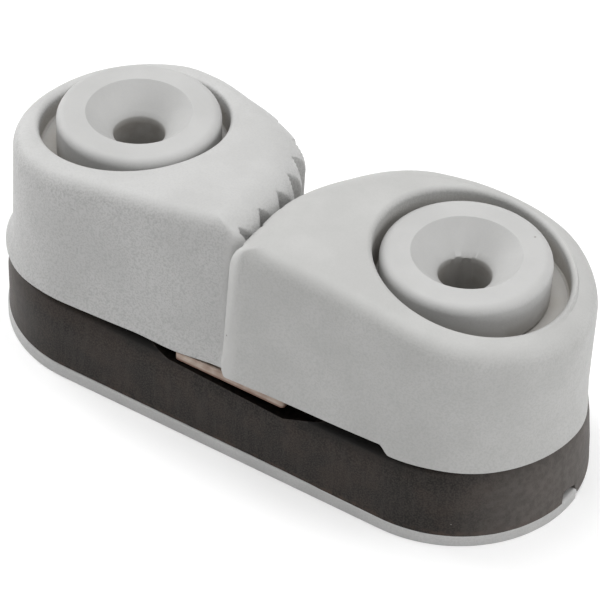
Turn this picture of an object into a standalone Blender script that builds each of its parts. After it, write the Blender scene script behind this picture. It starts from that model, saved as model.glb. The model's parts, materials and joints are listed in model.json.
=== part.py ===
# Cam cleat: two toothed cams turn on flanged bushes over a screw-down base.
# A torsion spring under each cam swings the jaws shut on the line between them.
# +X runs from screw to screw, -Y is the side the line is pulled from, +Z is up.

import math

import bmesh
import bpy
from mathutils import Vector

# Driving dimensions, in metres and degrees
SCREW_SPACING = 0.0380
SCREW_HOLE_DIAMETER = 0.0052
COUNTERSINK_DIAMETER = 0.0107
SEAT_GAP = 0.0003
RUNNING_GAP = 0.0004

PLATE_THICKNESS = 0.0012
PLATE_MARGIN = 0.0002
BASE_END_RADIUS = 0.0136
BASE_HEIGHT = 0.0081
BASE_DRAFT_INSET = 0.0004
BASE_EDGE_ROUND = 0.0007

STRIP_WIDTH = 0.0128
STRIP_THICKNESS = 0.0009
STRIP_PROUD = 0.0001
STRIP_END_MARGIN = 0.0003
STRIP_EDGE_ROUND = 0.0003

BUSH_HEAD_DIAMETER = 0.0168
BUSH_HEAD_HEIGHT = 0.0040
BUSH_HEAD_ROUND = 0.0007
BUSH_SHAFT_DIAMETER = 0.0112
BUSH_SPIGOT_DIAMETER = 0.0090
BUSH_HEIGHT_OVER_BASE = 0.0159

CAM_END_OVERHANG = 0.0001
CAM_AXIS_HEIGHT = 0.01445
CAM_TOP_SLOPE = 0.145
CAM_TOP_TILT = 0.035
CAM_FLARE_HEIGHT = 0.0030
CAM_DRAFT_INSET = 0.0008
CAM_TOP_ROUND = 0.0027
CAM_JAW_ROUND = 0.0042
CAM_NOSE_ROUND = 0.0010
NOSE_LIFT = 0.0008
NOSE_LIFT_START = 0.0006
JAW_FLAT_END = 0.0054
JAW_SHOULDER_RADIUS = 0.0172
JAW_FLANK_RADIUS = 0.0320
RECESS_DIAMETER = 0.0190
RECESS_OFFSET = 0.0005
POCKET_DIAMETER = 0.0192
POCKET_DEPTH = 0.0056

TOOTH_COUNT = 7
TOOTH_PITCH = 0.00365
TOOTH_START = 0.0029
TOOTH_DEPTH = 0.0013
TOOTH_LAND = 0.0004
TOOTH_ROOT_GAP = 0.00055

SPRING_WIRE_DIAMETER = 0.0010
SPRING_TURNS = 2.25
SPRING_PITCH = 0.0016
SPRING_LEG_LENGTH = 0.0026
SPRING_HOLE_CLEARANCE = 0.0003

# Heights that follow from the driving dimensions
BASE_BOTTOM = PLATE_THICKNESS + SEAT_GAP
BASE_TOP = BASE_BOTTOM + BASE_HEIGHT
STRIP_TOP = BASE_TOP + STRIP_PROUD
STRIP_BOTTOM = STRIP_TOP - STRIP_THICKNESS
CAM_BOTTOM = BASE_TOP + RUNNING_GAP
CAM_AXIS_TOP = CAM_BOTTOM + CAM_AXIS_HEIGHT
POCKET_TOP = CAM_BOTTOM + POCKET_DEPTH
BUSH_TOP = BASE_TOP + BUSH_HEIGHT_OVER_BASE
BUSH_HEAD_BOTTOM = BUSH_TOP - BUSH_HEAD_HEIGHT
BUSH_SHOULDER = BASE_TOP + SEAT_GAP
BUSH_BOTTOM = PLATE_THICKNESS + SEAT_GAP
RECESS_FLOOR = BUSH_HEAD_BOTTOM - SEAT_GAP

# Radii that follow from the driving dimensions
HALF_SPACING = SCREW_SPACING / 2
SCREW_HOLE_RADIUS = SCREW_HOLE_DIAMETER / 2
SHAFT_RADIUS = BUSH_SHAFT_DIAMETER / 2
SPIGOT_RADIUS = BUSH_SPIGOT_DIAMETER / 2
CAM_BORE_RADIUS = SHAFT_RADIUS + SEAT_GAP
POCKET_RADIUS = POCKET_DIAMETER / 2
COIL_RADIUS = (SHAFT_RADIUS + POCKET_RADIUS) / 2
BASE_TOP_RADIUS = BASE_END_RADIUS - BASE_DRAFT_INSET
CAM_END_RADIUS = BASE_END_RADIUS + CAM_END_OVERHANG
JAW_REACH = HALF_SPACING + (TOOTH_DEPTH - TOOTH_ROOT_GAP) / 2
HUB_PAD_RADIUS = HALF_SPACING - STRIP_WIDTH / 2 - RUNNING_GAP

# At rest the jaws mesh: both cams are swung the same way, half a tooth apart
REST_SWING = math.asin(TOOTH_PITCH / 4 / JAW_REACH)

# How finely round shapes are cut, and how far a cutter reaches past its work
ROUND_SEGMENTS = 48
OVERCUT = 0.002


def clear_scene():
    for obj in list(bpy.data.objects):
        bpy.data.objects.remove(obj, do_unlink=True)


def make_material(name, colour, roughness, metallic=0.0):
    material = bpy.data.materials.new(name)
    material.use_nodes = True
    shader = material.node_tree.nodes["Principled BSDF"]
    shader.inputs["Base Color"].default_value = (*colour, 1.0)
    shader.inputs["Roughness"].default_value = roughness
    shader.inputs["Metallic"].default_value = metallic
    return material


def add_object(name, bm, material, parent=None):
    bmesh.ops.recalc_face_normals(bm, faces=bm.faces)
    mesh = bpy.data.meshes.new(name)
    bm.to_mesh(mesh)
    bm.free()
    mesh.shade_smooth()
    mesh.set_sharp_from_angle(angle=math.radians(35))
    mesh.materials.append(material)
    obj = bpy.data.objects.new(name, mesh)
    bpy.context.collection.objects.link(obj)
    obj.parent = parent
    return obj


def cut(target, cutter):
    """Take the cutter's shape out of the target and keep the cutter as a wire guide."""
    cutter.hide_render = True
    cutter.display_type = "WIRE"
    modifier = target.modifiers.new("cut " + cutter.name, "BOOLEAN")
    modifier.operation = "DIFFERENCE"
    modifier.solver = "EXACT"
    modifier.object = cutter


def add_cutter(name, bm, target, parent=None):
    cut(target, add_object(name, bm, guide_material, parent))


def loft(rings):
    """Skin a stack of rings, bottom first, and close both ends."""
    bm = bmesh.new()
    loops = [[bm.verts.new(point) for point in ring] for ring in rings]
    count = len(rings[0])
    for lower, upper in zip(loops, loops[1:]):
        for i in range(count):
            j = (i + 1) % count
            bm.faces.new((lower[i], lower[j], upper[j], upper[i]))
    bm.faces.new(loops[0])
    bm.faces.new(loops[-1])
    return bm


def turned(profile, centre=(0.0, 0.0), segments=ROUND_SEGMENTS):
    """Spin a closed (radius, height) profile that stays clear of its upright axis."""
    bm = bmesh.new()
    loops = []
    for radius, height in profile:
        ring = circle(radius, height, centre, segments)
        loops.append([bm.verts.new(point) for point in ring])
    for i, loop in enumerate(loops):
        following = loops[(i + 1) % len(loops)]
        for j in range(segments):
            k = (j + 1) % segments
            bm.faces.new((loop[j], loop[k], following[k], following[j]))
    return bm


def circle(radius, height, centre=(0.0, 0.0), segments=ROUND_SEGMENTS):
    steps = [2 * math.pi * i / segments for i in range(segments)]
    return [(centre[0] + radius * math.cos(a), centre[1] + radius * math.sin(a), height) for a in steps]


def cylinder(radius, bottom, top, centre=(0.0, 0.0), segments=ROUND_SEGMENTS):
    return loft([circle(radius, bottom, centre, segments), circle(radius, top, centre, segments)])


def arc(centre, radius, start, end, steps):
    """Points on an arc from one angle in degrees to another, both ends included."""
    points = []
    for i in range(steps + 1):
        angle = math.radians(start + (end - start) * i / steps)
        points.append((centre[0] + radius * math.cos(angle), centre[1] + radius * math.sin(angle)))
    return points


def obround(radius, height):
    right = arc((HALF_SPACING, 0.0), radius, -90, 90, ROUND_SEGMENTS // 2)
    left = arc((-HALF_SPACING, 0.0), radius, 90, 270, ROUND_SEGMENTS // 2)
    return [(x, y, height) for x, y in right + left]


def rectangle(x, y, height):
    return [(-x, -y, height), (x, -y, height), (x, y, height), (-x, y, height)]


def quarter_round(radius, steps):
    """Inset and drop pairs that carry a wall over a rounded edge on to the top."""
    angles = [math.radians(90 * i / steps) for i in range(steps + 1)]
    return [(radius * (1 - math.cos(a)), radius * (1 - math.sin(a))) for a in angles]


def build_plate():
    bm = loft([obround(BASE_END_RADIUS + PLATE_MARGIN, z) for z in (0.0, PLATE_THICKNESS)])
    plate = add_object("base_plate", bm, grey_nylon)
    for side, sign in SIDES:
        hole = cylinder(SCREW_HOLE_RADIUS, -OVERCUT, PLATE_THICKNESS + OVERCUT, (sign * HALF_SPACING, 0.0))
        add_cutter(side + "_plate_hole", hole, plate)


def build_base():
    rings = [obround(BASE_END_RADIUS, BASE_BOTTOM)]
    for inset, drop in quarter_round(BASE_EDGE_ROUND, 3):
        rings.append(obround(BASE_TOP_RADIUS - inset, BASE_TOP - drop))
    base = add_object("base_body", loft(rings), black_nylon)

    seat_half = STRIP_WIDTH / 2 + SEAT_GAP
    seat_reach = BASE_END_RADIUS + OVERCUT
    seat_levels = (STRIP_BOTTOM - SEAT_GAP, BASE_TOP + OVERCUT)
    add_cutter("strip_seat", loft([rectangle(seat_half, seat_reach, z) for z in seat_levels]), base)

    for side, sign in SIDES:
        axis = (sign * HALF_SPACING, 0.0)
        socket = cylinder(SPIGOT_RADIUS + SEAT_GAP, BASE_BOTTOM - OVERCUT, BASE_TOP + OVERCUT, axis)
        add_cutter(side + "_bush_socket", socket, base)
        foot = spring_points(sign)[0]
        leg_floor = BASE_TOP - SPRING_LEG_LENGTH - SEAT_GAP
        leg_hole = cylinder(LEG_HOLE_RADIUS, leg_floor, BASE_TOP + OVERCUT, (axis[0] + foot.x, foot.y), 16)
        add_cutter(side + "_spring_foot_hole", leg_hole, base)


def build_strip():
    half_width = STRIP_WIDTH / 2
    reach = BASE_TOP_RADIUS - STRIP_END_MARGIN
    rings = []
    levels = [(0.0, STRIP_BOTTOM)]
    levels += [(inset, STRIP_TOP - drop) for inset, drop in quarter_round(STRIP_EDGE_ROUND, 2)]
    for inset, height in levels:
        rings.append(rectangle(half_width - inset, reach - inset, height))
    add_object("wear_strip", loft(rings), strip_metal)


def build_bush(side, pivot):
    countersink_radius = COUNTERSINK_DIAMETER / 2
    head_radius = BUSH_HEAD_DIAMETER / 2
    profile = [
        (SCREW_HOLE_RADIUS, BUSH_BOTTOM),
        (SPIGOT_RADIUS, BUSH_BOTTOM),
        (SPIGOT_RADIUS, BUSH_SHOULDER),
        (SHAFT_RADIUS, BUSH_SHOULDER),
        (SHAFT_RADIUS, BUSH_HEAD_BOTTOM),
        (head_radius, BUSH_HEAD_BOTTOM),
    ]
    profile += [(head_radius - inset, BUSH_TOP - drop) for inset, drop in quarter_round(BUSH_HEAD_ROUND, 4)]
    profile += [
        (countersink_radius, BUSH_TOP),
        (SCREW_HOLE_RADIUS, BUSH_TOP - (countersink_radius - SCREW_HOLE_RADIUS)),
    ]
    add_object(side + "_bush", turned(profile), grey_nylon, pivot)


def meet(first, first_radius, second, second_radius):
    """Right-hand crossing of two circles, looking from the first centre to the second."""
    across = Vector(second) - Vector(first)
    along = (across.length_squared + first_radius**2 - second_radius**2) / (2 * across.length)
    aside = math.sqrt(first_radius**2 - along**2)
    forward = across.normalized()
    return Vector(first) + forward * along + Vector((forward.y, -forward.x)) * aside


def jaw_arcs(wall_inset, jaw_inset):
    """Shoulder and flank arcs, as (centre, radius), that carry the jaw flat into the round end."""
    shoulder_radius = JAW_SHOULDER_RADIUS - jaw_inset
    flank_radius = JAW_FLANK_RADIUS - jaw_inset
    shoulder = Vector((JAW_REACH - JAW_SHOULDER_RADIUS, -JAW_FLAT_END))
    end_radius = CAM_END_RADIUS - wall_inset
    flank = meet((0.0, 0.0), flank_radius - end_radius, shoulder, flank_radius - shoulder_radius)
    return (shoulder, shoulder_radius), (flank, flank_radius)


def bearing(vector):
    return math.degrees(math.atan2(vector.y, vector.x))


def cam_outline(wall_inset, jaw_inset):
    """Plan of a cam with its jaw towards +X: round end, flank, shoulder, jaw flat, nose and front."""
    end_radius = CAM_END_RADIUS - wall_inset
    reach = JAW_REACH - jaw_inset
    (shoulder, shoulder_radius), (flank, flank_radius) = jaw_arcs(wall_inset, jaw_inset)
    end_bearing = bearing(-flank)
    flank_bearing = bearing(shoulder - flank)
    nose_round = max(CAM_NOSE_ROUND - jaw_inset, CAM_NOSE_ROUND / 5)
    outline = arc((0.0, 0.0), end_radius, 270, end_bearing, 28)
    outline += arc(flank, flank_radius, end_bearing, flank_bearing, 10)[1:]
    outline += arc(shoulder, shoulder_radius, flank_bearing, 0, 12)[1:]
    outline += arc((reach - nose_round, nose_round - end_radius), nose_round, 0, -90, 4)
    return outline


def cam_top(u, v):
    """Height of the cam's top, which rises to the jaw and to the front."""
    return CAM_AXIS_TOP + CAM_TOP_SLOPE * u - CAM_TOP_TILT * v


def top_round(u):
    """Radius of the rounded top edge, which grows from the hub to the jaw."""
    share = min(max(u / (JAW_REACH - CAM_JAW_ROUND), 0.0), 1.0)
    return CAM_TOP_ROUND + share * (CAM_JAW_ROUND - CAM_TOP_ROUND)


def cam_rings(mirror):
    """Rings of a cam's outside: foot, flared wall, then the rounded edge up on to the sloping top."""
    rings = []
    for wall_inset, height in ((0.0, CAM_BOTTOM), (CAM_DRAFT_INSET, CAM_BOTTOM + CAM_FLARE_HEIGHT)):
        rings.append([(mirror * u, v, height) for u, v in cam_outline(wall_inset, 0.0)])
    for inset, drop in quarter_round(1.0, 6):
        outline = cam_outline(CAM_DRAFT_INSET + inset * CAM_TOP_ROUND, inset * CAM_JAW_ROUND)
        rings.append([(mirror * u, v, cam_top(u, v) - drop * top_round(u)) for u, v in outline])
    return rings


def jaw_point(travel, depth):
    """Point on the jaw at a distance along it from the nose, sunk below its face."""
    (shoulder, shoulder_radius), (flank, flank_radius) = jaw_arcs(0.0, 0.0)
    flat = CAM_END_RADIUS - JAW_FLAT_END
    if travel < flat:
        return (JAW_REACH - depth, travel - CAM_END_RADIUS)
    turn = math.radians(bearing(shoulder - flank))
    on_shoulder = (travel - flat) / shoulder_radius
    if on_shoulder < turn:
        spot = shoulder + (shoulder_radius - depth) * Vector((math.cos(on_shoulder), math.sin(on_shoulder)))
    else:
        on_flank = turn + (travel - flat - turn * shoulder_radius) / flank_radius
        spot = flank + (flank_radius - depth) * Vector((math.cos(on_flank), math.sin(on_flank)))
    return (spot.x, spot.y)


def tooth_comb(mirror):
    """One comb that cuts every groove of a jaw, with its back clear of the jaw."""
    half_groove = (TOOTH_PITCH - TOOTH_LAND) / 2
    slope = half_groove / TOOTH_DEPTH
    clear = TOOTH_LAND / 2 / slope
    plan = []
    for i in range(TOOTH_COUNT):
        middle = TOOTH_START + i * TOOTH_PITCH
        plan.append(jaw_point(middle - TOOTH_PITCH / 2, -clear))
        plan.append(jaw_point(middle, TOOTH_DEPTH))
    last = TOOTH_START + (TOOTH_COUNT - 0.5) * TOOTH_PITCH
    plan.append(jaw_point(last, -clear))
    for i in range(TOOTH_COUNT + 1):
        plan.append(jaw_point(last - i * TOOTH_PITCH, -clear - OVERCUT))
    levels = (CAM_BOTTOM - OVERCUT, cam_top(JAW_REACH, -CAM_END_RADIUS) + OVERCUT)
    return loft([[(mirror * u, v, z) for u, v in plan] for z in levels])


def nose_relief(mirror):
    """Lifts the underside between the hub pad and the jaw, further clear of the strip."""
    reach = 2 * SCREW_SPACING
    edge = math.degrees(math.acos(NOSE_LIFT_START / HUB_PAD_RADIUS))
    plan = arc((0.0, 0.0), HUB_PAD_RADIUS, -edge, edge, 24)
    plan += [(NOSE_LIFT_START, reach), (reach, reach), (reach, -reach), (NOSE_LIFT_START, -reach)]
    levels = (CAM_BOTTOM - OVERCUT, CAM_BOTTOM + NOSE_LIFT)
    return loft([[(mirror * u, v, z) for u, v in plan] for z in levels])


def build_cam(side, sign, pivot, swing):
    mirror = -sign
    cam = add_object(side + "_cam", loft(cam_rings(mirror)), grey_nylon, swing)
    sky = CAM_AXIS_TOP + SCREW_SPACING
    recess_axis = (-mirror * RECESS_OFFSET, 0.0)
    add_cutter(side + "_recess", cylinder(RECESS_DIAMETER / 2, RECESS_FLOOR, sky, recess_axis), cam, swing)
    add_cutter(side + "_bore", cylinder(CAM_BORE_RADIUS, CAM_BOTTOM - OVERCUT, sky), cam, swing)
    add_cutter(side + "_spring_pocket", cylinder(POCKET_RADIUS, CAM_BOTTOM - OVERCUT, POCKET_TOP), cam, swing)
    head = spring_points(sign)[-1]
    leg_roof = POCKET_TOP + SPRING_LEG_LENGTH + SEAT_GAP
    leg_hole = cylinder(LEG_HOLE_RADIUS, POCKET_TOP - OVERCUT, leg_roof, (head.x, head.y), 16)
    add_cutter(side + "_spring_head_hole", leg_hole, cam, pivot)
    if side == "right":
        add_cutter("right_nose_relief", nose_relief(mirror), cam, swing)
    add_cutter(side + "_tooth_comb", tooth_comb(mirror), cam, swing)


def spring_points(sign):
    """Wire of one spring about its pivot: foot in the base, coil, then a leg up into the cam."""
    points_per_turn = 24
    steps = round(SPRING_TURNS * points_per_turn)
    coil_rise = SPRING_TURNS * SPRING_PITCH
    coil_bottom = (BASE_TOP + POCKET_TOP - coil_rise) / 2
    coil = []
    for i in range(steps + 1):
        angle = math.radians(90) + sign * 2 * math.pi * i / points_per_turn
        height = coil_bottom + coil_rise * i / steps
        coil.append(Vector((COIL_RADIUS * math.cos(angle), COIL_RADIUS * math.sin(angle), height)))
    foot = Vector((coil[0].x, coil[0].y, BASE_TOP - SPRING_LEG_LENGTH))
    head = Vector((coil[-1].x, coil[-1].y, POCKET_TOP + SPRING_LEG_LENGTH))
    return [foot] + coil + [head]


def least_gap(points, wire, skip):
    """Smallest clear distance between stretches of the wire that lie more than skip points apart."""
    gaps = []
    for i, point in enumerate(points):
        gaps += [(point - other).length - wire for other in points[i + skip:]]
    return min(gaps)


def build_spring(side, sign, pivot):
    points = spring_points(sign)
    curve = bpy.data.curves.new(side + "_spring", "CURVE")
    curve.dimensions = "3D"
    curve.bevel_depth = SPRING_WIRE_DIAMETER / 2
    curve.bevel_resolution = 1
    curve.use_fill_caps = True
    spline = curve.splines.new("POLY")
    spline.points.add(len(points) - 1)
    for spline_point, point in zip(spline.points, points):
        spline_point.co = (*point, 1.0)
    curve.materials.append(spring_steel)
    spring = bpy.data.objects.new(side + "_spring", curve)
    bpy.context.collection.objects.link(spring)
    spring.parent = pivot
    gap = least_gap(points, SPRING_WIRE_DIAMETER, 12)
    print(f"{side} spring: least gap between turns {gap * 1000:.2f} mm")


SIDES = (("left", -1), ("right", 1))
LEG_HOLE_RADIUS = SPRING_WIRE_DIAMETER / 2 + SPRING_HOLE_CLEARANCE

clear_scene()
grey_nylon = make_material("light grey nylon", (0.58, 0.59, 0.58), 0.55)
black_nylon = make_material("charcoal nylon", (0.035, 0.033, 0.031), 0.70)
strip_metal = make_material("wear strip metal", (0.62, 0.47, 0.38), 0.40, 0.8)
spring_steel = make_material("spring steel", (0.55, 0.55, 0.55), 0.30, 1.0)
guide_material = make_material("cutting guide", (0.8, 0.2, 0.2), 0.50)

build_plate()
build_base()
build_strip()
for side, sign in SIDES:
    pivot = bpy.data.objects.new(side + "_pivot", None)
    bpy.context.collection.objects.link(pivot)
    pivot.location = (sign * HALF_SPACING, 0.0, 0.0)
    build_bush(side, pivot)
    swing = bpy.data.objects.new(side + "_swing", None)
    bpy.context.collection.objects.link(swing)
    swing.parent = pivot
    swing.rotation_euler.z = REST_SWING
    build_cam(side, sign, pivot, swing)
    build_spring(side, sign, pivot)
bpy.context.view_layer.update()
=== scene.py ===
# Cam cleat: two toothed cams, sprung shut, turn on bushes over a screw-down base.
# Each section makes one piece with its finish, in the order in which the cleat goes together.
# The camera comes first, and the floor and lights come last.

import json
import math

import bmesh
import bpy
from mathutils import Matrix, Vector, noise


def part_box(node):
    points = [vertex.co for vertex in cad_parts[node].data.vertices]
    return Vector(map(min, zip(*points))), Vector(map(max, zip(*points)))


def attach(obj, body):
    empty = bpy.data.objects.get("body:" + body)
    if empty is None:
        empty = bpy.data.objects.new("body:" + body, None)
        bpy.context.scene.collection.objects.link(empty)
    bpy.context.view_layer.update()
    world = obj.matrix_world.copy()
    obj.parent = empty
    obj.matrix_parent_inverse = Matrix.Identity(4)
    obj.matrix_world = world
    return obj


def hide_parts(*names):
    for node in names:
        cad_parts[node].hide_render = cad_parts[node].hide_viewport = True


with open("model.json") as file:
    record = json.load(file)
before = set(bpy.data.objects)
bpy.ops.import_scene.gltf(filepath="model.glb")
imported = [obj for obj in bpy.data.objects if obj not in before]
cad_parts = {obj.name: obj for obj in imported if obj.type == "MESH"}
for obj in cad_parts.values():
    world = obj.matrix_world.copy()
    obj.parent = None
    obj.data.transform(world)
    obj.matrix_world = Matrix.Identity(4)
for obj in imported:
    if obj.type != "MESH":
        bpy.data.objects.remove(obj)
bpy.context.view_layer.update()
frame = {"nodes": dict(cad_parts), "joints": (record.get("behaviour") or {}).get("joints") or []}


# Camera: a long lens over the front right-hand side, near enough to show some perspective.
# It leans a little to one side, so the cleat's uprights lean the other way.
MM = 0.001
view_turn = math.radians(31.442)
view_height = math.radians(40.970)
view_lean = math.radians(2.335)
view_distance = 292.453 * MM
view_target = Vector((0.958, -0.536, 10.898)) * MM

camera_data = bpy.data.cameras.new("camera")
camera_data.sensor_width = 36.0
camera_data.lens = 175.68
camera_data.clip_start = 10 * MM
camera = bpy.data.objects.new("camera", camera_data)
bpy.context.collection.objects.link(camera)
turn = Matrix.Rotation(view_turn, 4, "Z")
tilt = Matrix.Rotation(math.pi / 2 - view_height, 4, "X")
roll = Matrix.Rotation(view_lean, 4, "Z")
aim = turn @ tilt @ roll
camera.matrix_world = Matrix.Translation(view_target + aim.col[2].to_3d() * view_distance) @ aim
bpy.context.scene.camera = camera


# Base plate: a thin light-grey nylon plate, moulded flat, that the body is stuck down on.
# Its edge stands a hair proud of the body all round, and both screws pass through it.
plate_low, plate_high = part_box("base_plate")
body_low, body_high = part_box("base_body")
pivots = {joint["child"]: Vector(joint["pos_m"]) for joint in frame["joints"]}
half_spacing = pivots["right_cam"].x
screw_hole_radius = 2.6 * MM
plate_radius = (plate_high.y - plate_low.y) / 2
plate_top = body_low.z - 0.05 * MM
plate_edge_round = 0.3 * MM
plate_trim = 0.2 * MM
# Light and dark greys of the nylon, and the warm colour of its painted shade
plate_greys = ((0.51, 0.508, 0.503), (0.465, 0.463, 0.458), (0.28, 0.25, 0.22))
flash_start = math.radians(3.0)
flash_end = math.radians(80)
flash_rise = 0.04
flash_fade = 0.4
overcut = 1 * MM


def quarter_round(radius, steps):
    """Inset and drop pairs that carry a wall over a rounded edge on to a flat."""
    angles = [math.pi / 2 * i / steps for i in range(steps + 1)]
    return [(radius * (1 - math.cos(a)), radius * (1 - math.sin(a))) for a in angles]


def obround(radius, height, end_steps=180, side_steps=60):
    """Ring of points round both pivots: two half circles joined by straight sides."""
    ring = []
    for centre, start in ((half_spacing, -math.pi / 2), (-half_spacing, math.pi / 2)):
        for i in range(end_steps + 1):
            angle = start + math.pi * i / end_steps
            ring.append(Vector((centre + radius * math.cos(angle), radius * math.sin(angle), height)))
        last = ring[-1]
        for i in range(1, side_steps):
            ring.append(last - Vector((2 * centre * i / side_steps, 0.0, 0.0)))
    return ring


def circle(radius, height, centre=(0.0, 0.0), steps=96):
    ring = []
    for i in range(steps):
        angle = 2 * math.pi * i / steps
        x = centre[0] + radius * math.cos(angle)
        y = centre[1] + radius * math.sin(angle)
        ring.append(Vector((x, y, height)))
    return ring


def soft_step(value, low, high):
    share = min(max((value - low) / (high - low), 0.0), 1.0)
    return share * share * (3 - 2 * share)


def flashed(point):
    """1 at the right-hand end where the body's moulding flash hangs over the plate, and 0 elsewhere."""
    around = math.atan2(point.y, point.x - half_spacing)
    fading = soft_step(around, flash_end - flash_fade, flash_end)
    return soft_step(around, flash_start, flash_start + flash_rise) * (1 - fading)


def moved_at_flash(ring, outward):
    """The ring, with its points moved out from the right-hand pivot where the flash hangs."""
    moved = []
    for point in ring:
        out = Vector((point.x - half_spacing, point.y, 0.0)).normalized()
        moved.append(point + out * outward * flashed(point))
    return moved


def plate_outline(inset, height):
    return moved_at_flash(obround(plate_radius - inset, height), -plate_trim)


def skin(name, rings, joined=False, **marks):
    """Piece skinned over closed rings of points, with its ends capped or joined to each other.

    Each mark, such as the painted shade, holds a value from 0 to 1 for each ring, or for each point of it,
    that the finish reads."""
    bm = bmesh.new()
    layers = [(bm.verts.layers.float.new(mark), values) for mark, values in marks.items()]
    loops = [[bm.verts.new(point) for point in ring] for ring in rings]
    for layer, values in layers:
        for loop, value in zip(loops, values):
            for i, vertex in enumerate(loop):
                vertex[layer] = value[i] if isinstance(value, list) else value
    pairs = list(zip(loops, loops[1:]))
    if joined:
        pairs.append((loops[-1], loops[0]))
    else:
        bm.faces.new(loops[0])
        bm.faces.new(loops[-1])
    for lower, upper in pairs:
        for i in range(len(lower)):
            j = (i + 1) % len(lower)
            bm.faces.new((lower[i], lower[j], upper[j], upper[i]))
    bmesh.ops.recalc_face_normals(bm, faces=bm.faces)
    mesh = bpy.data.meshes.new(name)
    bm.to_mesh(mesh)
    bm.free()
    piece = bpy.data.objects.new(name, mesh)
    bpy.context.collection.objects.link(piece)
    return piece


def carve(piece, cutter):
    """Take the cutter's shape out of the piece for good."""
    modifier = piece.modifiers.new("carve", "BOOLEAN")
    modifier.operation = "DIFFERENCE"
    modifier.solver = "EXACT"
    modifier.material_mode = "TRANSFER" if cutter.data.materials else "INDEX"
    modifier.object = cutter
    bpy.context.view_layer.update()
    carved = bpy.data.meshes.new_from_object(piece.evaluated_get(bpy.context.evaluated_depsgraph_get()))
    piece.modifiers.clear()
    piece.data = carved
    bpy.data.objects.remove(cutter)


def smooth(piece, crease=32):
    piece.data.shade_smooth()
    piece.data.set_sharp_from_angle(angle=math.radians(crease))


class Finish:
    """One value in a material's node tree, so that shader maths reads as plain sums."""

    def __init__(self, tree, socket=None):
        self.tree = tree
        self.socket = socket

    def node(self, kind, settings, inputs, output=0):
        """Add a node, with its settings made first, and give back one of its outputs."""
        made = self.tree.nodes.new(kind)
        for name, value in settings.items():
            setattr(made, name, value)
        for name, value in inputs.items():
            if isinstance(value, Finish):
                self.tree.links.new(value.socket, made.inputs[name])
            else:
                made.inputs[name].default_value = value
        return Finish(self.tree, made.outputs[output])

    def maths(self, operation, first, second):
        return self.node("ShaderNodeMath", {"operation": operation}, {0: first, 1: second})

    def __add__(self, other):
        return self.maths("ADD", self, other)

    def __rsub__(self, other):
        return self.maths("SUBTRACT", other, self)

    def __mul__(self, other):
        return self.maths("MULTIPLY", self, other)

    __radd__ = __add__
    __rmul__ = __mul__

    def between(self, low, high):
        """0 below low, 1 above high and a soft step from one to the other."""
        settings = {"interpolation_type": "SMOOTHSTEP"}
        return self.node("ShaderNodeMapRange", settings, {"Value": self, "From Min": low, "From Max": high})

    def blend(self, first, second):
        """Colour that goes from the first to the second as this value goes from 0 to 1."""
        return self.node("ShaderNodeMix", {"data_type": "RGBA"}, {0: self, 6: first, 7: second}, output=2)

    def cloud(self, size, detail=3.0):
        """Noise over the piece whose blotches are about this many millimetres across."""
        place = self.node("ShaderNodeTexCoord", {}, {}, output=3)
        inputs = {"Vector": place, "Scale": 1 / (size * MM), "Detail": detail}
        return self.node("ShaderNodeTexNoise", {}, inputs)

    def speck(self, spacing, radius):
        """Small dots, one in each cell of a grid this many millimetres wide, 1 at the middle of a dot."""
        place = self.node("ShaderNodeTexCoord", {}, {}, output=3)
        cells = self.node("ShaderNodeTexVoronoi", {}, {"Vector": place, "Scale": 1 / (spacing * MM)})
        solid_radius = 0.4 * radius
        return 1 - cells.between(solid_radius / spacing, radius / spacing)

    def attribute(self, name):
        return self.node("ShaderNodeAttribute", {"attribute_name": name}, {}, output=2)

    def bump(self, height, strength, depth):
        """Normal of a surface that this many millimetres of relief, times height, is worked into."""
        inputs = {"Height": height, "Strength": strength, "Distance": depth * MM}
        return self.node("ShaderNodeBump", {}, inputs)


def new_finish(name, roughness, metallic=0.0, gloss=0.5):
    """A Principled material, as its tree to build on and its shader."""
    material = bpy.data.materials.new(name)
    material.use_nodes = True
    shader = material.node_tree.nodes["Principled BSDF"]
    shader.inputs["Roughness"].default_value = roughness
    shader.inputs["Metallic"].default_value = metallic
    shader.inputs["Specular IOR Level"].default_value = gloss
    return material, Finish(material.node_tree), shader


def feed(finish, shader, **sockets):
    for name, value in sockets.items():
        finish.tree.links.new(value.socket, shader.inputs[name.replace("_", " ")])


def grey_nylon(name, light, dark, shade_tone, coarse=0.3):
    """Moulded light-grey nylon: faint clouds, grain on its walls, a few specks, and painted shade in its
    recesses.
    """
    material, finish, shader = new_finish(name, 0.55, gloss=0.35)
    facing = finish.node("ShaderNodeTexCoord", {}, {}, 1)
    level = finish.node("ShaderNodeSeparateXYZ", {}, {0: facing}, 2).between(0.35, 0.95)
    clouding = finish.cloud(7.0).between(0.35, 0.65)
    grain = finish.cloud(0.20, 2.0)
    pores = finish.cloud(0.45, 3.0).between(0.58, 0.72)
    pitting = (grain.between(0.40, 0.65) + 0.4 * pores) * (1 - 0.75 * level) * coarse
    # Painted shade: the marked recesses go to the warm shade colour, with cloudy edges.
    shade_paint = finish.attribute("shelter") * (0.65 + 0.35 * finish.cloud(2.4).between(0.35, 0.65))
    colour = clouding.blend((*dark, 1.0), (*light, 1.0))
    colour = pitting.blend(colour, (*[0.78 * part for part in dark], 1.0))
    # Painted highlight: the marked band down each cam's nose goes paler than the light grey.
    colour = finish.attribute("rubbed").blend(colour, (*[1.08 * part for part in light], 1.0))
    colour = shade_paint.blend(colour, (*shade_tone, 1.0))
    colour = (finish.speck(6.5, 0.15) * 0.7).blend(colour, (0.12, 0.10, 0.08, 1.0))
    feed(finish, shader, Base_Color=colour, Roughness=0.48 + 0.16 * finish.cloud(0.9).between(0.3, 0.7))
    feed(finish, shader, Normal=finish.bump(pitting, 0.35, 0.06))
    return material


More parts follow.
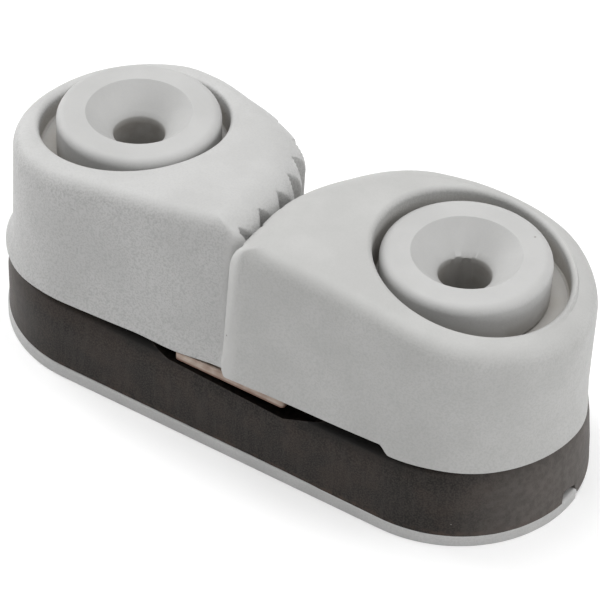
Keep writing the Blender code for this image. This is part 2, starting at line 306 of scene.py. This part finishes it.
plate_rings = []
for inset, drop in reversed(quarter_round(plate_edge_round / 3, 3)):
    plate_rings.append(plate_outline(inset, plate_low.z + drop))
for inset, drop in quarter_round(plate_edge_round, 4):
    plate_rings.append(plate_outline(inset, plate_top - drop))
plate = skin("plate", plate_rings)
for pivot in pivots.values():
    hole = [circle(screw_hole_radius, z, pivot) for z in (plate_low.z - overcut, plate_top + overcut)]
    carve(plate, skin("screw_hole", hole))
smooth(plate)
plate.data.materials.append(grey_nylon("plate_nylon", *plate_greys))
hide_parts("base_plate")
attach(plate, "base")


# Base body: one charcoal nylon moulding with a fine sparked grain and softly worn edges. Both ends are
# lighter, partly from wear and partly from painted sheen.
# It has a socket for each bush, and a shallow seat for the wear strip, painted near black as shade.
# Its wall leans in to the top, and a sliver has broken off its foot at the right-hand end.
strip_low, strip_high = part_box("wear_strip")
body_radius = (body_high.y - body_low.y) / 2
body_draft = 0.4 * MM
end_draft = 0.45 * MM
body_foot_height = 1.6 * MM
body_waist = 4.6 * MM
body_shoulder_fall = 1.9 * MM
body_edge_round = 1.1 * MM
underside_inset = 1.2 * MM
under_rim_inset = 0.6 * MM
under_rim_reach = 0.63 * MM
body_flash = 0.07 * MM
flash_hang = 0.40 * MM
flash_drop = 0.95 * MM
hang_start = 0.4 * half_spacing
ragged_waves = 900
ragged_ripples = 2600
# Place along the body, floor and fall of the front and back lips at four sections of the seat
seat_sections = (
    (-8.8 * MM, body_high.z + 0.05 * MM, 0.1 * MM),
    (-6.2 * MM, strip_low.z - 0.1 * MM, 0.1 * MM),
    (7.4 * MM, strip_low.z - 0.3 * MM, 0.5 * MM),
    (12.0 * MM, body_high.z + 0.05 * MM, 0.1 * MM),
)
seat_steps = 40
seat_lip = (body_radius - 2.8 * MM, body_radius - 0.8 * MM)
spigot_radius = 4.5 * MM
socket_radius = spigot_radius + 0.15 * MM
chip_start = math.radians(-7.5)
chip_end = flash_start
chip_height = 1.2 * MM
shelter_begins = (-20 * MM, -9 * MM)
shelter_ends = (16 * MM, 26 * MM)
rubbed_right = (24 * MM, 32.5 * MM)
rubbed_left = (20 * MM, 33 * MM)


def ragged_foot(point):
    """Foot of the body's wall: moulding flash hangs from it at the right-hand end, where it is chipped."""
    waver = noise.noise(point * ragged_waves) + 0.6 * noise.noise(point * ragged_ripples)
    around = math.atan2(point.y, point.x - half_spacing)
    near_end = min(max((point.x - hang_start) / half_spacing, 0.0), 1.0)
    overhang = plate_radius - body_radius - 1.5 * body_flash
    out = Vector((math.cos(around), math.sin(around), 0.0)) * overhang
    spread = flashed(point)
    if point.x > half_spacing and chip_start < around < chip_end:
        share = (around - chip_start) / (chip_end - chip_start)
        lift = chip_height * (1 - 0.55 * share) + 1.5 * body_flash * waver
    else:
        lift = body_flash * waver * (0.3 + near_end) - flash_hang * near_end * (1 - flashed(point))
        spread = max(spread, near_end)
    drop = flash_drop * (1 + 0.1 * waver) * flashed(point)
    return point + out * spread + Vector((0.0, 0.0, lift - drop))


def body_outline(height, lean, end_lean, inset=0.0):
    """Ring of the body's wall, drawn in by shares of its draft, and further at the right-hand end."""
    ring = []
    for point in obround(body_radius, height):
        core = Vector((min(max(point.x, -half_spacing), half_spacing), 0.0, height))
        at_end = soft_step(point.x - half_spacing, 0.3 * body_radius, 0.85 * body_radius)
        draft = lean * body_draft + end_lean * end_draft * at_end
        ring.append(point - (point - core).normalized() * (draft + inset))
    return ring


def sheltered(ring, amount):
    """Painted shade under the cams along the straight sides, for each point of a ring."""
    band = [soft_step(p.x, *shelter_begins) * (1 - soft_step(p.x, *shelter_ends)) for p in ring]
    return [amount * (0.2 + 0.8 * share) for share in band]


def charcoal_nylon():
    """Dark moulded nylon: fine grain, brown worn patches and edges, faint streaks and dust specks, ends
    lighter from wear and painted sheen, and painted shade under the cams.
    """
    material, finish, shader = new_finish("charcoal_nylon", 0.6, gloss=0.20)
    place = finish.node("ShaderNodeTexCoord", {}, {}, 3)
    height = finish.node("ShaderNodeSeparateXYZ", {}, {0: place}, 2)
    upright = finish.node("ShaderNodeMapping", {}, {"Vector": place, "Scale": (1600.0, 1600.0, 260.0)})
    streak = finish.node("ShaderNodeTexNoise", {}, {"Vector": upright, "Scale": 1.0, "Detail": 3.0})
    grain = finish.cloud(0.17, 3.0)
    rubbed = finish.cloud(3.0, 4.0).between(0.40, 0.68)
    ends = finish.attribute("rubbed") * (0.7 + 0.3 * finish.cloud(0.7, 4.0).between(0.35, 0.65))
    low_edge = 1 - height.between(body_low.z + 0.05 * MM, body_low.z + 0.55 * MM)
    high_edge = height.between(body_high.z - 1.6 * MM, body_high.z - 0.6 * MM)
    worn = 0.35 * rubbed + (0.9 * low_edge + 0.3 * high_edge) * finish.cloud(1.0).between(0.40, 0.62)
    colour = grain.between(0.36, 0.66).blend((0.0080, 0.0064, 0.0054, 1.0), (0.034, 0.0282, 0.0240, 1.0))
    colour = (streak.between(0.45, 0.75) * 0.35).blend(colour, (0.044, 0.037, 0.033, 1.0))
    colour = (worn * 0.55).blend(colour, (0.072, 0.047, 0.035, 1.0))
    # Both ends go lighter: partly worn, partly painted sheen where the end lamps graze them.
    colour = (ends * 0.74).blend(colour, (0.125, 0.112, 0.103, 1.0))
    # Painted shade: near black where the top edge runs under the cams.
    colour = finish.attribute("shelter").blend(colour, (0.004, 0.0035, 0.003, 1.0))
    colour = (finish.speck(3.4, 0.10) * 0.7).blend(colour, (0.34, 0.32, 0.30, 1.0))
    feed(finish, shader, Base_Color=colour, Roughness=0.46 + 0.22 * grain)
    feed(finish, shader, Normal=finish.bump(grain + 0.5 * streak, 0.5, 0.04))
    return material


body_rings = [obround(body_radius - underside_inset, body_low.z)]
body_rings.append(moved_at_flash(obround(body_radius - under_rim_inset, body_low.z), under_rim_reach))
body_rings.append([ragged_foot(point) for point in obround(body_radius + body_flash, body_low.z)])
body_rings.append(body_outline(body_low.z + body_foot_height, 0.0, 0.0))
body_rings.append(body_outline(body_low.z + body_waist, 0.0, 0.7))
body_rings.append(body_outline(body_high.z - body_shoulder_fall, 0.4, 0.9))
# Painted shade on the rounded top edge under the cams, none below it.
body_shelter = [0.0] * len(body_rings)
for inset, drop in quarter_round(body_edge_round, 8):
    body_rings.append(body_outline(body_high.z - drop, 1.0, 1.0, inset))
    body_shelter.append(sheltered(body_rings[-1], min(0.5 + 8.0 * inset / body_edge_round, 1.0)))
# Lighter at both ends of the body: partly wear, partly painted sheen.
body_rubbed = []
for ring in body_rings:
    body_rubbed.append([soft_step(p.x, *rubbed_right) + soft_step(-p.x, *rubbed_left) for p in ring])
body = skin("body", body_rings, shelter=body_shelter, rubbed=body_rubbed)
seat_rings = []
for x, floor_height, lip_fall in seat_sections:
    ring = [Vector((x, -2 * body_radius, body_high.z + overcut))]
    for i in range(-seat_steps, seat_steps + 1):
        y = i / seat_steps * (body_radius + overcut)
        ring.append(Vector((x, y, floor_height - lip_fall * soft_step(abs(y), *seat_lip))))
    ring.append(Vector((x, 2 * body_radius, body_high.z + overcut)))
    seat_rings.append(ring)
seat = skin("strip_seat", seat_rings)
# Painted shade: the seat's faces get a near-black material where the strip and cams shade them.
painted_shade_nylon, painted_shade_finish, painted_shade_shader = new_finish("painted_shade_nylon", 0.9, gloss=0.05)
smears = painted_shade_finish.cloud(0.6).between(0.35, 0.65)
shade_paint = smears.blend((0.003, 0.0025, 0.002, 1.0), (0.008, 0.006, 0.005, 1.0))
feed(painted_shade_finish, painted_shade_shader, Base_Color=shade_paint)
body.data.materials.append(charcoal_nylon())
seat.data.materials.append(painted_shade_nylon)
carve(body, seat)
for pivot in pivots.values():
    socket = [circle(socket_radius, z, pivot) for z in (body_low.z - overcut, body_high.z + overcut)]
    carve(body, skin("bush_socket", socket))
smooth(body)
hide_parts("base_body")
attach(body, "base")


# Wear strip: thin metal strip let into the top of the body, which the line rubs on between the cams.
# It was sheared to length and has a warm, tarnished skin, browner along its lower edge.
# It lies a little to the right in its seat, which leaves a dark gap beside it on the left.
strip_round = 0.2 * MM
strip_shift = 0.7 * MM


def tarnished_metal():
    material, finish, shader = new_finish("tarnished_metal", 0.45, 0.2)
    place = finish.node("ShaderNodeTexCoord", {}, {}, 3)
    height = finish.node("ShaderNodeSeparateXYZ", {}, {0: place}, 2)
    stretched = finish.node("ShaderNodeMapping", {}, {"Vector": place, "Scale": (700.0, 7000.0, 3000.0)})
    rubbing = finish.node("ShaderNodeTexNoise", {}, {"Vector": stretched, "Scale": 1.0, "Detail": 3.0})
    blotch = finish.cloud(1.4).between(0.35, 0.65)
    burnt = 1 - height.between(strip_low.z + 0.10 * MM, strip_low.z + 0.35 * MM)
    colour = blotch.blend((0.31, 0.23, 0.185, 1.0), (0.43, 0.355, 0.30, 1.0))
    colour = (rubbing.between(0.45, 0.75) * 0.35).blend(colour, (0.24, 0.15, 0.11, 1.0))
    colour = (burnt * 0.8).blend(colour, (0.16, 0.07, 0.045, 1.0))
    feed(finish, shader, Base_Color=colour, Roughness=0.36 + 0.22 * rubbing)
    feed(finish, shader, Normal=finish.bump(rubbing, 0.25, 0.02))
    return material


def rounded_oblong(half_x, half_y, corner, height, steps=5):
    ring = []
    for x_side, y_side, start in ((1, -1, -90), (1, 1, 0), (-1, 1, 90), (-1, -1, 180)):
        for i in range(steps + 1):
            angle = math.radians(start + 90 * i / steps)
            x = strip_shift + x_side * (half_x - corner) + corner * math.cos(angle)
            y = y_side * (half_y - corner) + corner * math.sin(angle)
            ring.append(Vector((x, y, height)))
    return ring


strip_half = (strip_high - strip_low) / 2
strip_rings = [rounded_oblong(strip_half.x, strip_half.y, 2 * strip_round, strip_low.z)]
for inset, drop in quarter_round(strip_round, 4):
    ring = rounded_oblong(strip_half.x - inset, strip_half.y - inset, 2 * strip_round, strip_high.z - drop)
    strip_rings.append(ring)
strip = skin("strip", strip_rings)
smooth(strip)
strip.data.materials.append(tarnished_metal())
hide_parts("wear_strip")
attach(strip, "base")


# Bushes: moulded top-hat bushes of light-grey nylon, one under each screw head.
# The head is countersunk, holds the cam down, and stands in the cam's round recess.
# A shred of moulding flash is left where the right-hand countersink meets its hole.
bush_low, bush_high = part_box("right_bush")
head_radius = (bush_high.x - bush_low.x) / 2 - 0.12 * MM
head_height = 4.5 * MM
head_round = 1.0 * MM
shaft_radius = 5.6 * MM
countersink_radius = 5.35 * MM
countersink_break = 0.12 * MM
hole_break = 0.10 * MM
hole_shadow = 0.8 * MM
hole_flash = 0.24 * MM
hole_flash_side = Vector((-0.6, 0.8, 0.0))
hole_flash_start = 0.55
hole_flash_waves = 2300
cone_ring = 0.5 * MM
head_ring = 0.15 * MM
# Light and dark greys of the nylon, and the warm colour of its painted shade
bush_greys = ((0.468, 0.467, 0.461), (0.435, 0.434, 0.428), (0.30, 0.285, 0.265))
bush_grain = 0.15
bush_seats = {"left": Vector((0.0, 0.0)), "right": Vector((-0.12, -0.04)) * MM}


def bush_profile():
    """Radius, height and painted shade along a bush's section, from the foot up the outside and down the
    hole.
    """
    top = bush_high.z
    shoulder = body_high.z + 0.1 * MM
    cone_foot = top - (countersink_radius - screw_hole_radius)
    profile = [(screw_hole_radius, bush_low.z, 1.0), (spigot_radius, bush_low.z, 1.0)]
    profile += [(spigot_radius, shoulder, 1.0), (shaft_radius, shoulder, 1.0)]
    profile += [(shaft_radius, top - head_height, 1.0), (head_radius, top - head_height, 1.0)]
    profile.append((head_radius, top - 0.6 * head_height, 0.35))
    profile += [(head_radius - inset, top - drop, 0.0) for inset, drop in quarter_round(head_round, 10)]
    profile.append((head_radius - head_round - head_ring, top, 0.0))
    profile.append((countersink_radius + 3 * countersink_break, top, 0.0))
    for i in range(5):
        angle = math.radians(45 * i / 4)
        out = countersink_radius + countersink_break * (0.41 - math.sin(angle))
        profile.append((out, top - countersink_break * (1 - math.cos(angle)), 0.0))
    profile.append((screw_hole_radius + cone_ring, cone_foot + cone_ring, 0.0))
    profile.append((screw_hole_radius + hole_break, cone_foot + hole_break, 0.05))
    profile.append((screw_hole_radius, cone_foot - hole_break, 0.5))
    profile.append((screw_hole_radius, cone_foot - hole_shadow, 1.0))
    return profile


for side in ("left", "right"):
    pivot = pivots[side + "_cam"].to_2d() + bush_seats[side]
    profile = bush_profile()
    rings = [circle(radius, height, pivot, 144) for radius, height, depth in profile]
    if side == "right":
        for ring in rings[-3:-1]:
            for point in ring:
                out = (point - pivot.to_3d() - Vector((0.0, 0.0, point.z))).normalized()
                facing = max(out.dot(hole_flash_side) - hole_flash_start, 0.0)
                point -= out * facing * hole_flash * (1.0 + 1.4 * noise.noise(point * hole_flash_waves))
    bush = skin(side + "_top_hat", rings, joined=True, shelter=[depth for radius, height, depth in profile])
    smooth(bush)
    bush.data.materials.append(grey_nylon(side + "_bush_nylon", *bush_greys, coarse=bush_grain))
    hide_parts(side + "_bush")
    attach(bush, "base")


# Springs: a torsion spring wound of drawn steel wire lies in the pocket under each cam.
# Its foot stands in the body and its upper leg in the cam, which it swings shut.
def drawn_wire():
    material, finish, shader = new_finish("drawn_wire", 0.3, 1.0)
    drawn = finish.cloud(0.5, 4.0)
    colour = drawn.between(0.3, 0.7).blend((0.42, 0.41, 0.40, 1.0), (0.60, 0.59, 0.57, 1.0))
    feed(finish, shader, Base_Color=colour, Roughness=0.22 + 0.2 * drawn)
    return material


wire = drawn_wire()
for side in ("left", "right"):
    spring = frame["nodes"][side + "_spring"]
    spring.data.materials.clear()
    spring.data.materials.append(wire)


# Cams: mirror-image mouldings in light-grey nylon, with upright teeth cut into the curved jaw.
# The top rises to the nose, whose rounded edge carries a painted highlight, and the foot of the wall flares
# out a little.
# A round recess clears the bush's head, and the right-hand cam is relieved under its nose.
cam_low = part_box("left_cam")[0]
end_radius = 13.7 * MM
jaw_reach = 19.375 * MM
jaw_flat_end = 5.4 * MM
shoulder_radius = 17.2 * MM
flank_radius = 32.0 * MM
# Radius of the nose's corner at the foot and at the top
nose_rounds = {"left": (1.4 * MM, 2.0 * MM), "right": (1.0 * MM, 2.0 * MM)}
wall_draft = 0.8 * MM
wall_lean = {"left": 0.3 * MM, "right": 0.0}
flare_height = 3.2 * MM
wall_heights = (0.6 * MM, 1.2 * MM, 2.0 * MM, flare_height)
top_round = 2.0 * MM
jaw_round = 4.2 * MM
front_edge = (6 * MM, 11 * MM)
front_edge_end = (14 * MM, 18 * MM)
foot_round = 0.2 * MM
# Height of the top on the axis, its rise towards the jaw and the front, and how far the rise eases off
tops = {"left": (24.50 * MM, 0.122, 0.055, 0.0), "right": (24.95 * MM, 0.190, 0.006, 3.8)}
rear = (-6 * MM, 4 * MM)
rear_fall = {"left": 0.36 * MM, "right": 0.0}
back_dome = {"left": 0.0, "right": 0.38 * MM}
jaw_dip = {"left": 0.0, "right": 0.2 * MM}
jaw_dip_across = (8 * MM, 17 * MM)
jaw_dip_along = (-13 * MM, -3 * MM)
# Bearing and spread in degrees of each swell of the wall, and how far it stands out
swells = {
    "left": ((80, 22, -0.40 * MM), (58, 24, -0.45 * MM), (20, 15, 0.50 * MM), (190, 60, -0.20 * MM)),
    "right": ((84, 42, -0.80 * MM), (125, 75, -0.26 * MM), (36, 24, 0.38 * MM)),
}
flare_fade = {"left": (-7 * MM, 5 * MM), "right": (-1 * MM, 8 * MM)}
feet = {"left": cam_low.z, "right": cam_low.z - 0.25 * MM}
nose_flare = (4 * MM, 14 * MM)
foot_bulge = {"left": 0.25 * MM, "right": 0.0}
bulge_fade = (-8 * MM, 0.0)
foot_droop = {"left": 0.35 * MM, "right": 0.25 * MM}
droop_start = (3 * MM, 9 * MM)
droop_rim = (12.5 * MM, 13.0 * MM)
foot_dip = 0.38 * MM
dip_middle = 12.5 * MM
dip_spread = 5 * MM
dip_rim = (12.0 * MM, 12.8 * MM)
recess_radius = 9.55 * MM
recess_offset = 0.5 * MM
recess_floor = bush_high.z - head_height - 0.3 * MM
rim_round = 0.55 * MM
bore_radius = shaft_radius + 0.3 * MM
pocket_radius = 9.6 * MM
pocket_top = cam_low.z + 5.6 * MM
hub_pad_radius = 11.0 * MM
hub_pad_edge = 0.05 * MM
nose_lift = 0.8 * MM
lift_start = 0.2 * MM
lift_end = 1.3 * MM
nose_chamfer = 0.75 * MM
chamfer_slope = 1.75
tooth_count = 7
tooth_pitch = 3.65 * MM
first_groove = 2.9 * MM
tooth_depth = 1.3 * MM
tooth_land = 0.4 * MM
tooth_soft = 0.10 * MM
end_steps = 90
jaw_steps = 120
flat_steps = 90
front_steps = 60
nose_highlight = (17.2 * MM, 18.4 * MM)
nose_highlight_front = (10 * MM, 12 * MM)
# Light and dark greys of each cam's nylon, and the warm colour of its painted shade
cam_greys = {
    "left": ((0.492, 0.491, 0.485), (0.456, 0.455, 0.449), (0.36, 0.325, 0.28)),
    "right": ((0.468, 0.467, 0.458), (0.434, 0.433, 0.424), (0.35, 0.315, 0.27)),
}
wall_grain = {"left": 0.65, "right": 0.35}
rest_swing = math.asin(tooth_pitch / 4 / jaw_reach)


def crossing(first, first_radius, second, second_radius):
    """Right-hand crossing of two circles, looking from the first centre to the second."""
    across = second - first
    along = (across.length_squared + first_radius**2 - second_radius**2) / (2 * across.length)
    forward = across.normalized()
    aside = math.sqrt(first_radius**2 - along**2)
    return first + forward * along + Vector((forward.y, -forward.x)) * aside


def bearing(vector):
    return math.atan2(vector.y, vector.x)


def heading(angle):
    return Vector((math.cos(angle), math.sin(angle)))


def hump(value, middle, spread):
    """1 at the middle, falling softly to 0 at the spread to either side of it."""
    away = min(abs(value - middle) / spread, 1.0)
    return math.cos(math.pi / 2 * away) ** 2


def soft_most(first, second):
    """The larger of two lengths, with the change from one to the other rounded off."""
    return (first + second + math.hypot(first - second, tooth_soft)) / 2


def groove_depth(travel):
    """Depth of the tooth grooves at a distance along the jaw from the nose."""
    count = (travel - first_groove) / tooth_pitch
    if not -0.5 < count < tooth_count - 0.5:
        return 0.0
    aside = abs(count - round(count)) * tooth_pitch
    half_groove = (tooth_pitch - tooth_land) / 2
    depth = tooth_depth * (1 - aside / half_groove)
    return soft_most(depth, 0.0) - tooth_soft / 2


def jaw_sink(travel, jaw_inset):
    """How far the jaw lies inside its full reach: by the inset, or by a groove where that is deeper."""
    return max(soft_most(groove_depth(travel), jaw_inset) - tooth_soft / 2, jaw_inset)


def arc(centre, radius, start, end, steps):
    points = []
    for i in range(steps + 1):
        angle = start + (end - start) * i / steps
        points.append(centre + radius * heading(angle))
    return points


def cam_plan(wall_inset, jaw_inset, nose_round):
    """Plan of a toothed cam, jaw towards +X: round end, flank, shoulder, jaw flat, nose and front."""
    radius = end_radius - wall_inset
    reach = jaw_reach - jaw_inset
    shoulder = Vector((jaw_reach - shoulder_radius, -jaw_flat_end))
    flank_distance = flank_radius - jaw_inset - radius
    flank = crossing(Vector((0, 0)), flank_distance, shoulder, flank_radius - shoulder_radius)
    flank_end = bearing(-flank)
    shoulder_end = bearing(shoulder - flank)
    nose = max(nose_round - jaw_inset, nose_round / 5)
    corner = Vector((reach - nose, nose - radius))
    flat = end_radius - jaw_flat_end

    plan = arc(Vector((0, 0)), radius, 1.5 * math.pi, flank_end, end_steps)
    for i in range(1, jaw_steps + 1):
        angle = flank_end + (shoulder_end - flank_end) * i / jaw_steps
        travel = flat + shoulder_end * shoulder_radius + (angle - shoulder_end) * flank_radius
        plan.append(flank + (flank_radius - jaw_sink(travel, jaw_inset)) * heading(angle))
    for i in range(1, jaw_steps + 1):
        angle = shoulder_end * (1 - i / jaw_steps)
        travel = flat + angle * shoulder_radius
        plan.append(shoulder + (shoulder_radius - jaw_sink(travel, jaw_inset)) * heading(angle))
    for i in range(1, flat_steps):
        v = -jaw_flat_end + (corner.y + jaw_flat_end) * i / flat_steps
        plan.append(Vector((jaw_reach - jaw_sink(v + end_radius, jaw_inset), v)))
    plan += arc(corner, nose, 0, -math.pi / 2, 10)
    plan += [Vector((corner.x * (1 - i / front_steps), -radius)) for i in range(1, front_steps)]
    return plan


def settled(plan, side):
    """The plan as this cam came out of its mould: flatter round the back and fuller at the shoulder."""
    ring = []
    for point in plan:
        around = math.degrees(bearing(point)) % 360
        swell = 0.0
        for middle, spread, amount in swells[side]:
            swell += amount * hump(around, middle, spread)
        ring.append(point + point.normalized() * swell)
    return ring


def cam_wall(height, inset, side):
    """Plan of the wall at a height over the foot; the flare at its foot dies out round the back."""
    nose = nose_rounds[side][0]
    wide = settled(cam_plan(inset, inset, nose), side)
    narrow = settled(cam_plan(wall_draft - wall_lean[side] / 2 + inset, inset, nose), side)
    flare = max(1 - height / flare_height, 0.0) ** 2
    ring = []
    for outer, inner in zip(wide, narrow):
        share = flare * (1 - soft_step(outer.y, *flare_fade[side]))
        share *= 1 - 0.24 * soft_step(outer.x, *nose_flare)
        swell = foot_bulge[side] * (1 - soft_step(outer.x, *bulge_fade))
        ring.append(inner.lerp(outer + outer.normalized() * swell, share))
    return ring


def cam_underside(point, side):
    """Height of the lower edge, which droops at the round end and dips at the front of the left-hand cam.

    The right-hand cam steps up towards its nose, whose corner is cut off."""
    far = soft_step(-point.x, *droop_start) * soft_step(math.hypot(point.x, point.y), *droop_rim)
    foot = feet[side] - foot_droop[side] * far
    if side == "left":
        return foot - foot_dip * hump(point.x, dip_middle, dip_spread) * soft_step(-point.y, *dip_rim)
    rise = (cam_low.z - feet["right"] + nose_lift) * soft_step(point.x, lift_start, lift_end)
    if point.y < 0:
        rise += chamfer_slope * max(point.x - jaw_reach + nose_chamfer, 0.0)
    return foot + rise


def cam_top(point, side):
    """Height of the top, which climbs to the nose, more and more gently on the right-hand cam."""
    axis_height, slope, tilt, easing = tops[side]
    dip = jaw_dip[side] * soft_step(point.x, *jaw_dip_across) * soft_step(point.y, *jaw_dip_along)
    dip += rear_fall[side] * soft_step(point.y, *rear)
    return axis_height + slope * point.x - tilt * point.y - easing * max(point.x, 0.0) ** 2 - dip


def edge_round(point):
    """Radius of the rounded top edge, which grows from the hub to the jaw, later along the front."""
    share = min(max(point.x / (jaw_reach - jaw_round), 0.0), 1.0)
    front = soft_step(-point.y, *front_edge) * (1 - soft_step(point.x, *front_edge_end))
    return top_round + (1 - 0.8 * front) * share * (jaw_round - top_round)


def round_ring(bearings, radius, height, offset=0.0):
    """Circle about the pivot with one point on each bearing; height may follow the point."""
    ring = []
    for angle in bearings:
        point = Vector((offset + radius * math.cos(angle), radius * math.sin(angle), 0.0))
        point.z = height(point) if callable(height) else height
        ring.append(point)
    return ring


def cam_rings(side):
    """Rings and their painted shade, from the outer foot up the wall, over the top, down the recess and
    back.
    """
    rings = []
    shelter = []

    def add(ring, depth=0.0):
        rings.append(ring)
        shelter.append(depth)

    levels = list(reversed(quarter_round(foot_round, 3))) + [(0.0, height) for height in wall_heights]
    for inset, height in levels:
        add([Vector((p.x, p.y, cam_underside(p, side) + height)) for p in cam_wall(height, inset, side)])
    for inset, drop in quarter_round(1.0, 16):
        wall_inset = wall_draft + wall_lean[side] / 2 + inset * top_round
        plan = settled(cam_plan(wall_inset, inset * jaw_round, nose_rounds[side][1]), side)
        dome = [back_dome[side] * soft_step(p.y, *rear) for p in plan]
        add([Vector((p.x, p.y, cam_top(p, side) - d - drop * edge_round(p))) for p, d in zip(plan, dome)])
    top_edge = rings[-1]
    hub = Vector((-recess_offset, 0.0, 0.0))
    bearings = [bearing(p - hub) for p in top_edge]

    def recess_ring(outset, height):
        return round_ring(bearings, recess_radius + outset, height, -recess_offset)

    rim = recess_ring(rim_round, lambda p: cam_top(p, side))
    for share in (0.06, 0.94):
        add([edge.lerp(inner, share) for edge, inner in zip(top_edge, rim)])
    for inset, drop in reversed(quarter_round(rim_round, 6)):
        add(recess_ring(inset, lambda p: cam_top(p, side) - drop))
    # Painted shade down the recess wall, over its floor and into the bore.
    add(recess_ring(0.0, lambda p: (cam_top(p, side) + recess_floor) / 2), 0.55)
    add(recess_ring(0.0, recess_floor + foot_round), 0.6)
    add(recess_ring(-foot_round, recess_floor), 0.25)
    add(round_ring(bearings, bore_radius, recess_floor), 1.0)
    add(round_ring(bearings, bore_radius, pocket_top), 1.0)
    add(round_ring(bearings, pocket_radius, pocket_top), 1.0)
    add(round_ring(bearings, pocket_radius, feet[side]), 1.0)
    add(round_ring(bearings, hub_pad_radius, feet[side]), 0.8)
    add(round_ring(bearings, hub_pad_radius + hub_pad_edge, lambda p: cam_underside(p, side)), 0.8)
    return rings, shelter


for side, mirror in (("left", 1), ("right", -1)):
    rings, shelter = cam_rings(side)
    # Painted highlight down the rounded nose of each cam.
    rubbed = []
    for ring in rings:
        rubbed.append([soft_step(p.x, *nose_highlight) * soft_step(-p.y, *nose_highlight_front) for p in ring])
    flip = Matrix.Scale(mirror, 4, (1, 0, 0))
    place = Matrix.Translation((pivots[side + "_cam"].x, 0, 0)) @ Matrix.Rotation(rest_swing, 4, "Z") @ flip
    rings = [[place @ point for point in ring] for ring in rings]
    cam = skin(side + "_toothed_cam", rings, joined=True, shelter=shelter, rubbed=rubbed)
    smooth(cam)
    cam.data.materials.append(grey_nylon(side + "_cam_nylon", *cam_greys[side], coarse=wall_grain[side]))
    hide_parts(side + "_cam")
    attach(cam, side + "_cam")


# Floor and lights: a white sweep under a wide overhead soft box, with paler boxes at both ends.
# The sweep glows faintly, as a lit white table does, so the cleat stands on clean white.
floor_mesh = bpy.data.meshes.new("floor")
floor_reach = 4.0
corners = [(x * floor_reach, y * floor_reach, 0) for x, y in ((-1, -1), (1, -1), (1, 1), (-1, 1))]
floor_mesh.from_pydata(corners, [], [(0, 1, 2, 3)])
floor = bpy.data.objects.new("floor", floor_mesh)
bpy.context.collection.objects.link(floor)
sweep, _, sweep_shader = new_finish("white_sweep", 0.9)
sweep_shader.inputs["Base Color"].default_value = (0.92, 0.92, 0.92, 1.0)
sweep_shader.inputs["Emission Color"].default_value = (1.0, 1.0, 1.0, 1.0)
sweep_shader.inputs["Emission Strength"].default_value = 0.10
floor_mesh.materials.append(sweep)

world = bpy.data.worlds.new("studio")
world.use_nodes = True
world.node_tree.nodes["Background"].inputs["Color"].default_value = (1.0, 1.0, 1.0, 1.0)
world.node_tree.nodes["Background"].inputs["Strength"].default_value = 0.15
bpy.context.scene.world = world
bpy.context.scene.view_settings.view_transform = "Standard"


def soft_box(name, place, size, power):
    light = bpy.data.lights.new(name, "AREA")
    light.shape = "RECTANGLE"
    light.size, light.size_y = size
    light.energy = power
    lamp = bpy.data.objects.new(name, light)
    bpy.context.collection.objects.link(lamp)
    lamp.location = place
    lamp.rotation_euler = (Vector((0, 0, 12 * MM)) - lamp.location).to_track_quat("-Z", "Y").to_euler()


soft_box("overhead", Vector((0.0, 0.0, 0.80)), (0.90, 0.90), 7.75)
soft_box("left_end", Vector((-0.60, 0.05, 0.30)), (0.40, 0.40), 2.3)
soft_box("right_end", Vector((0.60, 0.15, 0.30)), (0.40, 0.40), 1.4)
